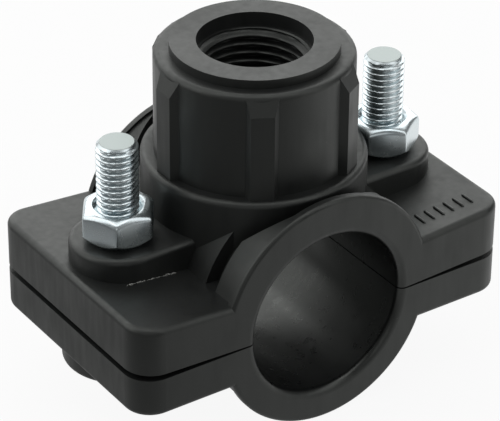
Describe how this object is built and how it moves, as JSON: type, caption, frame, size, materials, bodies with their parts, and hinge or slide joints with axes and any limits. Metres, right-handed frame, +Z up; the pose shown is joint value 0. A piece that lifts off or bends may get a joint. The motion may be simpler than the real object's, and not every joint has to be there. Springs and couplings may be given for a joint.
{
  "type": "tapping saddle",
  "caption": "Moulded two-part pipe clamp with a round threaded outlet on top, closed by a bolt and nut at each side.",
  "frame": {"origin": "crossing of the pipe's axis and the outlet's axis", "axes": "+X through both bolts, +Y along the pipe, +Z up the outlet"},
  "size_m": [0.0838, 0.051, 0.0701],
  "materials": {
    "black_polypropylene": "satin, as moulded",
    "black_rubber": "matte",
    "zinc_plated_steel": "bright zinc plate"
  },
  "bodies": {
    "lower_half": {"lower_saddle": "black_polypropylene", "bolt_left": "zinc_plated_steel", "bolt_right": "zinc_plated_steel"},
    "upper_half": {"upper_saddle": "black_polypropylene", "seal_ring": "black_rubber"},
    "left_nut": {"nut_left": "zinc_plated_steel"},
    "right_nut": {"nut_right": "zinc_plated_steel"}
  },
  "joints": [
    {"name": "clamp_draw", "type": "slide", "parent": "lower_half", "child": "upper_half", "axis": [0, 0, 1], "range_m": [-0.00025, 0.012]},
    {"name": "left_nut_turn", "type": "hinge", "parent": "upper_half", "child": "left_nut", "pos_m": [-0.0303, 0, 0.01495], "axis": [0, 0, 1], "range_deg": [-72, 3456]},
    {"name": "right_nut_turn", "type": "hinge", "parent": "upper_half", "child": "right_nut", "pos_m": [0.0303, 0, 0.01495], "axis": [0, 0, 1], "range_deg": [-72, 3456]}
  ],
  "couplings": [
    {"joint": "left_nut_turn", "follows": "clamp_draw", "rad_per_m": 5026.5},
    {"joint": "right_nut_turn", "follows": "clamp_draw", "rad_per_m": 5026.5}
  ]
}
